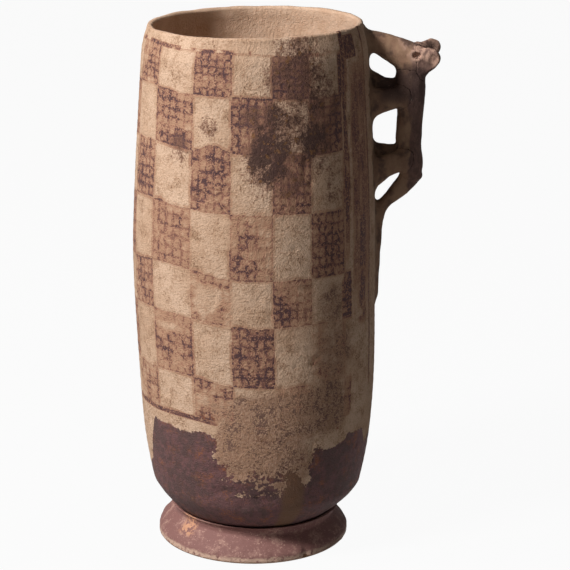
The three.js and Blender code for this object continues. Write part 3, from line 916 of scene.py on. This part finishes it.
class VesselNodes(Nodes):
    """The vessel's nodes, with its stored layout and the noises that its paint shares."""

    def __init__(self):
        super().__init__("painted_body")
        for name in ("column", "row", "level", "wash", "lines", "worn", "stain", "panel", "outer"):
            setattr(self, name, self.read(name))
        self.turned = self.angle()
        self.fine, self.grain, self.blot = self.noise(0.75, 2), self.noise(1.5, 3), self.noise(3.6, 3)
        self.patch, self.broad = self.noise(8, 4), self.noise(28, 4)
        self.streak = self.noise(3.2, 3, (1, 1, 0.14))


def hatching(n, column, row, wobble, width):
    """1 on the brushed lines in a cell, 0 in the squares between them."""
    lines = []
    for coordinate, count in ((column, LINES_ACROSS), (row, LINES_UP)):
        wave = n.math("FRACT", n.times(n.plus(coordinate, wobble), count))
        from_middle = n.math("ABSOLUTE", n.minus(wave, 0.5))
        lines.append(n.ramp(n.plus(from_middle, width), 0.20, 0.44))
    return n.largest(*lines)


def chequer(n, column, row, area):
    """Where cells are hatched, and the frame lines between all cells."""
    parity = n.math("PINGPONG", n.plus(n.math("FLOOR", column), n.math("FLOOR", row)), 1.0)
    frames = []
    for coordinate, full, gone in ((column, 0.03, 0.085), (row, 0.02, 0.07)):
        inside = n.math("FRACT", coordinate)
        frames.append(n.ramp(n.math("MINIMUM", inside, n.minus(1.0, inside)), gone, full))
    return n.times(n.minus(1.0, parity), area), n.times(n.largest(*frames), area)


def side_lines(n):
    """Strokes under the lip, over the base, and beside the handle."""
    level, streak = n.level, n.streak
    rungs = n.near(n.math("FRACT", n.math("DIVIDE", level, 4.2)), 0.5, 0.1, 0.3)
    under_lip = n.times(n.near(n.row, 7.0, 0.02, 0.06), n.ramp(n.patch, 0.44, 0.56))
    over_base = n.times(n.near(n.row, -0.04, 0.03, 0.07), n.ramp(n.worn, 0.5, 0.1))
    # Beside the handle: angle of a mark's middle, half width, where it is gone, and what bounds it
    marks = [
        (60.5, 6.0, 9.0, n.ramp(level, 120, 190), n.ramp(level, 284, 256),
         n.ramp(streak, 0.3, 0.6, 0.25, 0.75)),
        (61.5, 2.0, 4.5, n.near(level, 178, 13, 18), n.ramp(streak, 0.2, 0.5)),
        (61.0, 2.0, 5.0, n.near(level, 148, 10, 18), n.ramp(n.patch, 0.4, 0.58)),
        (48.5, 0.9, 2.0, n.ramp(level, 160, 200), n.ramp(streak, 0.3, 0.5)),
        (69.0, 0.5, 1.3, n.ramp(level, 92, 100), n.ramp(streak, 0.3, 0.5, 0.3, 0.8)),
        (55.0, 4.3, 5.4, n.near(level, 281.5, 5.2, 6.4)),
        (45.5, 0.8, 1.9, n.near(level, 268, 9, 13)),
        (48.0, 2.8, 4.0, n.near(level, 149.0, 10, 12), n.plus(0.45, rungs)),
    ]
    beside = [n.times(n.near(n.turned, at, full, gone), *bounds) for at, full, gone, *bounds in marks]
    drawn = n.largest(n.times(under_lip, n.ramp(n.turned, 45, 25)),
                      n.times(over_base, n.ramp(n.turned, 0, -10)), *beside)
    return n.times(drawn, n.ramp(n.grain, 0.3, 0.52, 0.35, 0.95))


def paint_coat(n):
    """How much of the full coat of paint is left, and where cells are hatched."""
    wobble = n.swing(n.noise(8, 2), 0.075)
    column, row = n.plus(n.column, wobble), n.minus(n.row, wobble)
    beside_strip = n.largest(n.ramp(n.turned, PLAIN_FROM + 0.5, PLAIN_FROM - 0.5),
                             n.ramp(n.turned, PLAIN_TO - 0.5, PLAIN_TO + 0.5))
    area = n.times(beside_strip, n.ramp(n.row, -0.02, 0.02), n.ramp(n.row, 7.02, 6.98))
    hatched, frames = chequer(n, column, row, area)
    strokes = hatching(n, column, row, n.swing(n.blot, 0.16), n.swing(n.grain, 0.7))
    survives = n.ramp(n.frayed(n.lines, patch=3.4, blot=2.2), 0.25, 1.15)
    thin = n.times(n.frayed(n.wash, patch=1.2), n.plus(0.30, n.times(strokes, 0.36)))
    thick = n.times(n.plus(n.times(strokes, 0.8), 0.2), survives, 0.62)
    frame_share = n.plus(n.times(n.wash, 0.34), n.times(survives, 0.42))
    framed = n.times(frames, frame_share, n.plus(0.45, n.times(hatched, 0.55)))
    coat = n.largest(n.times(hatched, n.plus(thin, thick)), framed, side_lines(n))
    lost = n.frayed(n.swing(n.grain, 2.2), fine=1.3, blot=1.2)
    return n.times(coat, n.ramp(lost, -0.45, 0.6, 1.4, 0.1)), hatched


def bare_slip(n, hatched):
    """The ground under the paint: mottled, speckled, rusty in hatched cells, and browner where worn."""
    mottled = n.ramp(n.frayed(n.patch, grain=0.9), 0.40, 0.70)
    specks = n.ramp(n.frayed(n.fine, patch=1.1, grain=0.4), 0.70, 0.84, 0.0, 0.7)
    worn_tone = n.mix(n.ramp(n.frayed(n.grain, patch=0.8), 0.40, 0.62), WORN_CLAY, SLIP_DULL)
    bare = n.ramp(n.frayed(n.worn, patch=0.8, blot=0.8), 0.1, 0.65)
    rusty = n.ramp(n.frayed(n.patch, grain=1.4, fine=0.8), 0.44, 0.64, 0.05, 0.8)
    flecks = n.ramp(n.frayed(n.grain, fine=0.9, patch=1.3), 0.54, 0.68, 0.0, 0.8)
    return n.coats(
        SLIP,
        (n.ramp(n.broad, 0.35, 0.65), SLIP_PALE),
        (n.times(mottled, 0.62), SLIP_DULL),
        (n.ramp(n.fine, 0.48, 0.68, 0.0, 0.5), SLIP_DULL),
        (specks, SPECK),
        (n.times(bare, n.ramp(n.grain, 0.3, 0.6, 0.6, 1.0)), worn_tone),
        (n.times(hatched, n.wash, rusty), RUST),
        (n.times(n.ramp(n.worn, 0.2, 0.6), flecks), FLECK))


def stained(n, colour):
    """A colour under stains and burnt soot."""
    ragged = n.frayed(n.stain, patch=1.6, blot=1.3, grain=1.4, fine=0.7)
    return n.coats(
        colour,
        (n.times(n.ramp(n.stain, 0.0, 0.15), n.ramp(ragged, 0.1, 0.75, 0.0, 0.78)), SOOT_RED),
        (n.ramp(ragged, 0.6, 1.1, 0.0, 0.85), SOOT),
        (n.times(n.ramp(n.stain, 0.2, 0.6), n.ramp(n.blot, 0.58, 0.68), 0.6), SOOT_OLIVE))


def base_band(n):
    """The dark band round the base, eaten away where it is worn, and its tone."""
    eaten = n.plus(n.times(n.swing(n.patch, 1.0), n.ramp(n.worn, 0.02, 0.3, 7.0, 62.0)),
                   n.times(n.swing(n.grain, 1.0), n.ramp(n.worn, 0.02, 0.3, 3.0, 34.0)))
    chips = n.ramp(n.frayed(n.patch, fine=0.3, blot=0.2), 0.70, 0.76, 0.0, 0.7)
    band = n.times(n.ramp(n.plus(n.panel, eaten), -0.4, 0.6), n.minus(1.0, chips))
    reddish = n.frayed(n.patch, fine=0.5, grain=0.6)
    darker = n.frayed(n.broad, blot=0.9, grain=0.5)
    tone = n.coats(
        PANEL,
        (n.ramp(reddish, 0.54, 0.72), PANEL_RED),
        (n.ramp(darker, 0.42, 0.66, 0.0, 0.75), PANEL_DARK),
        (n.times(n.near(n.turned, 19, 4, 8), n.ramp(n.level, 62, 54), 0.85), PANEL_BROWN),
        (n.ramp(n.fine, 0.6, 0.75, 0.0, 0.4), PANEL_DUST))
    return band, tone


def painted_vessel():
    n = VesselNodes()
    coat, hatched = paint_coat(n)
    band, band_tone = base_band(n)
    colour = bare_slip(n, hatched)
    for (low, _), (high, tone) in zip(PAINT_COATS[:-1], PAINT_COATS[1:]):
        colour = n.mix(n.ramp(coat, low, high), colour, tone)
    colour = n.mix(n.times(band, 0.96), stained(n, colour), band_tone)
    turning_marks = n.ramp(n.noise(3, 3, (1, 1, 6)), 0.5, 0.68, 0.0, 0.3)
    inner = n.coats(SLIP_PALE, (n.ramp(n.patch, 0.3, 0.7), SLIP), (turning_marks, CLAY))
    scraped = n.times(n.streak, n.ramp(n.turned, 35, 50))
    normal = n.bumps((n.fine, 0.00055, 0.9), (n.noise(1.6, 4), 0.0008, 0.5), (n.blot, 0.0007, 0.35),
                     (scraped, 0.0011, 0.6), (band, 0.0003, 0.5))
    roughness = n.ramp(n.largest(band, coat), 0.0, 1.0, 0.92, 0.74)
    return n.finish(n.mix(n.outer, inner, colour), roughness, normal)


def painted_foot():
    n = Nodes("painted_foot")
    turned, level = n.angle(), n.read("level")
    n.fine, n.grain, n.patch = n.noise(0.8, 2), n.noise(2.2, 3), n.noise(8, 4)
    wear = n.ramp(n.frayed(n.patch, grain=0.7), 0.5, 0.74)
    edge = n.ramp(n.frayed(level, patch=5.0), 4.4, 2.4)
    spot = n.times(n.near(turned, -50.0, 3, 9), n.ramp(level, 7.5, 10), n.ramp(n.grain, 0.42, 0.55))
    colour = n.coats(
        FOOT_PAINT,
        (n.times(wear, 0.55), FOOT_WEAR),
        (n.ramp(n.plus(n.fine, n.times(n.patch, 0.4)), 0.82, 0.9), FOOT_WEAR),
        (spot, FOOT_SPOT),
        (n.times(edge, n.ramp(n.grain, 0.3, 0.5)), FOOT_RUBBED),
        (n.ramp(level, 0.6, 0.2), CLAY))
    normal = n.bumps((n.noise(0.8, 3), 0.0004, 0.5), (n.noise(2, 3, (0.5, 0.5, 2.5)), 0.0006, 0.35))
    return n.finish(colour, n.ramp(wear, 0.0, 1.0, 0.68, 0.88), normal)


def painted_handle():
    """Brown slip, darker on the outer side with dark paint and painted shade, with painted light on the
    head's top and painted shade under the jaw.
    """
    n = Nodes("painted_handle")
    n.fine = n.noise(0.7, 2)
    n.grain, n.patch = n.noise(1.8, 3, (1, 1, 0.5)), n.noise(6, 4, (1, 1, 0.5))
    at = n.add("ShaderNodeSeparateXYZ")
    n.join(n.place(), at.inputs[0])
    x, z = at.outputs[0], at.outputs[2]
    # The outer side: dark paint with painted shade, as it is turned away from the light
    back = n.ramp(n.frayed(n.minus(x, 83.0), patch=9.0), -1.0, 1.5)
    # Painted light on the head's top, above a slanting line where light passes over the rim
    lit_crown = n.times(n.ramp(n.frayed(z, patch=6.0), 265, 272),
                    n.ramp(n.minus(n.plus(z, n.times(x, 1.6)), 400), 0, 6))
    # Grainy breaks in that painted light
    patchy_light = n.ramp(n.frayed(n.grain, patch=1.0), 0.35, 0.6, 0.15, 1.0)
    # Painted shade under the jaw and on the neck's front
    jaw = n.times(n.ramp(n.frayed(z, patch=10.0), 268, 263), n.ramp(z, 244, 252),
                  n.ramp(x, 64, 70), n.ramp(x, 97, 91), 0.85)
    streaks = n.ramp(n.noise(5, 4, (0.6, 1, 0.6)), 0.48, 0.66)
    colour = n.coats(
        HANDLE_SLIP,
        (n.ramp(n.patch, 0.35, 0.65), HANDLE_BROWN),
        (n.times(back, 0.85), n.mix(n.ramp(n.grain, 0.4, 0.6), HANDLE_PAINT_AND_SHADE, HANDLE_DARK_PAINT_AND_SHADE)),
        (n.times(lit_crown, patchy_light), CROWN_LIGHT),
        (jaw, JAW_SHADE),
        (n.times(streaks, 0.75), HANDLE_STREAK),
        (n.times(n.ramp(n.fine, 0.66, 0.76), 0.6), HANDLE_SPECK))
    normal = n.bumps((n.noise(0.8, 3), 0.0004, 0.5), (n.noise(2.4, 3, (1, 1, 0.4)), 0.0007, 0.4))
    return n.finish(colour, 0.8, normal)


# Camera: the photograph's place and angle, in mm and degrees
CAMERA_BACK, CAMERA_HEIGHT, TILT, YAW, ROLL = 1076.0, 457.0, 16.24, 0.91, 0.47
LENS, FILM_WIDTH = 128.14, 36.0


def make_camera():
    data = bpy.data.cameras.new("camera")
    data.lens, data.sensor_width = LENS, FILM_WIDTH
    data.clip_start, data.clip_end = 0.01, 20.0
    camera = in_scene("camera", data)
    tilt, yaw, roll = (math.radians(v) for v in (TILT, YAW, ROLL))
    aside = Vector((math.cos(yaw), -math.sin(yaw), 0))
    ahead = Vector((math.sin(yaw), math.cos(yaw), 0))
    forward = ahead * math.cos(tilt) - Vector((0, 0, math.sin(tilt)))
    above = ahead * math.sin(tilt) + Vector((0, 0, math.cos(tilt)))
    right = aside * math.cos(roll) + above * math.sin(roll)
    up = above * math.cos(roll) - aside * math.sin(roll)
    turn = Matrix((right, up, -forward)).transposed().to_4x4()
    camera.matrix_world = Matrix.Translation((0, -CAMERA_BACK * MM, CAMERA_HEIGHT * MM)) @ turn
    bpy.context.scene.camera = camera


# Lamps: name, angle round the beaker, elevation, distance and size in m, power in W
LAMPS = [
    ("key_light", -56, 43, 1.7, 0.36, 39),
    ("front_fill", -10, 20, 2.4, 1.2, 2.4),
    ("right_fill", 112, 20, 2.2, 0.8, 2.0),
]
LAMP_AIM = 0.16


def make_lamp(name, angle, elevation, distance, size, power):
    """A square soft lamp aimed at the beaker's middle."""
    data = bpy.data.lights.new(name, "AREA")
    data.size, data.energy = size, power
    lamp = in_scene(name, data)
    across, up = math.radians(angle), math.radians(elevation)
    way = Vector((math.sin(across) * math.cos(up), -math.cos(across) * math.cos(up), math.sin(up)))
    lamp.location = Vector((0, 0, LAMP_AIM)) + way * distance
    lamp.rotation_mode = "QUATERNION"
    lamp.rotation_quaternion = way.to_track_quat("Z", "Y")


# The floor's half width in m, its grey, how white the camera sees it, and the light from all round
FLOOR_REACH, FLOOR_TONE, FLOOR_GLOW, AMBIENT = 6.0, 0.3, 0.95, 0.045


def floor_finish():
    """A pale matt floor that the camera sees near white, while it keeps the object's shadow."""
    n = Nodes("floor_finish")
    n.shader.inputs["Base Color"].default_value = (FLOOR_TONE, FLOOR_TONE, FLOOR_TONE, 1)
    n.shader.inputs["Roughness"].default_value = 0.9
    glow = n.add("ShaderNodeEmission")
    mixed = n.add("ShaderNodeMixShader")
    path = n.add("ShaderNodeLightPath")
    seen = n.largest(path.outputs["Is Camera Ray"], path.outputs["Is Glossy Ray"])
    n.join(n.times(seen, FLOOR_GLOW), mixed.inputs[0])
    n.join(n.shader.outputs[0], mixed.inputs[1])
    n.join(glow.outputs[0], mixed.inputs[2])
    n.join(mixed.outputs[0], n.tree.nodes["Material Output"].inputs["Surface"])
    return n.material


def make_stage():
    reach = FLOOR_REACH / MM
    points = np.array([(-reach, -reach, 0), (reach, -reach, 0), (reach, reach, 0), (-reach, reach, 0)])
    floor = new_object("floor", points, [(0, 1, 2, 3)], smooth=False)
    floor.data.materials.append(floor_finish())
    world = bpy.data.worlds.new("studio")
    bpy.context.scene.world = world
    world.use_nodes = True
    tree = world.node_tree
    back = tree.nodes["Background"]
    light = tree.nodes.new("ShaderNodeLightPath")
    seen = tree.nodes.new("ShaderNodeMapRange")
    seen.inputs["To Min"].default_value, seen.inputs["To Max"].default_value = AMBIENT, 1.0
    tree.links.new(light.outputs["Is Camera Ray"], seen.inputs["Value"])
    tree.links.new(seen.outputs[0], back.inputs["Strength"])
    back.inputs["Color"].default_value = (1, 1, 1, 1)


make_camera()
for lamp in LAMPS:
    make_lamp(*lamp)
make_stage()

pieces = [
    (make_vessel(), "vessel_body", "painted_body", painted_vessel()),
    (make_foot(), "foot", "painted_foot", painted_foot()),
]
handle_finish = painted_handle()
pieces += [(piece, name, "painted_handle", handle_finish) for name, piece in zip(LIMBS, make_handle())]
for piece, node, slot, finish in pieces:
    piece.data.materials.append(finish)
    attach(piece, "root")
    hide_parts(node)

bpy.context.scene.view_settings.view_transform = "Standard"
